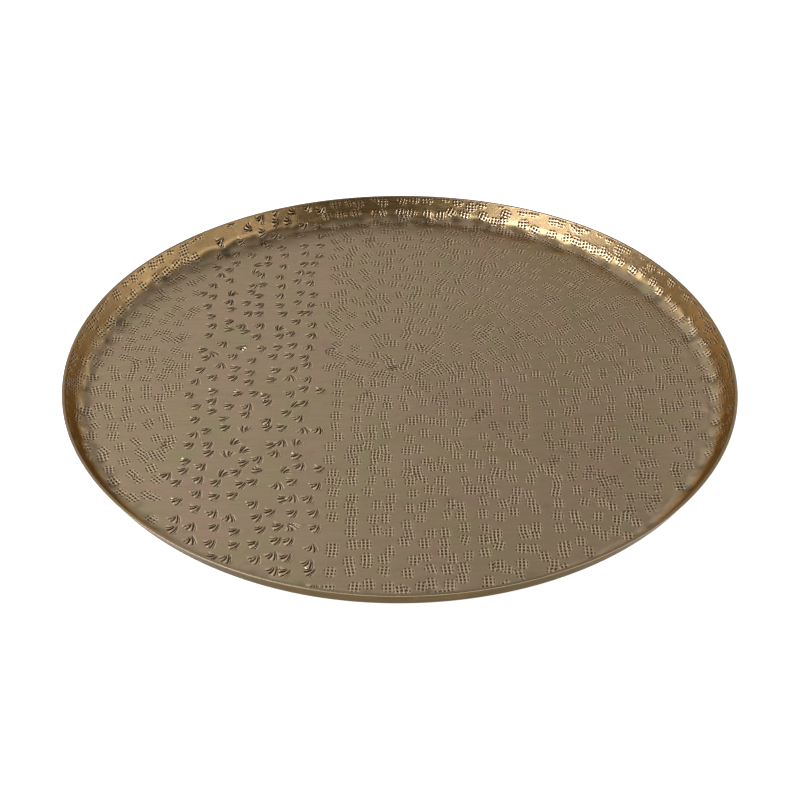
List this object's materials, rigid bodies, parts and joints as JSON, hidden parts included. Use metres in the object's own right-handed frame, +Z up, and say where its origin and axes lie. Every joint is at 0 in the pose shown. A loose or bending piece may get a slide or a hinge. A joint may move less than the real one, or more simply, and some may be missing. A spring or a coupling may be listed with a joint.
{
  "type": "tray",
  "caption": "Round shallow brass tray raised from a sheet, with a punched floor, a softly bent flared wall and a plain level lip.",
  "frame": {"origin": "centre of the flat underside, on the surface that the tray rests on", "axes": "+Z up along the tray's axis, out of the open side; +X to the right and +Y to the back as the tray is usually seen"},
  "size_m": [0.4999, 0.5, 0.02],
  "materials": {
    "brass_sheet": "antiqued satin: hand-punched, khaki-brown patina darkened in the marks, thinly relacquered"
  },
  "bodies": {
    "root": {"tray": "brass_sheet"}
  },
  "joints": []
}
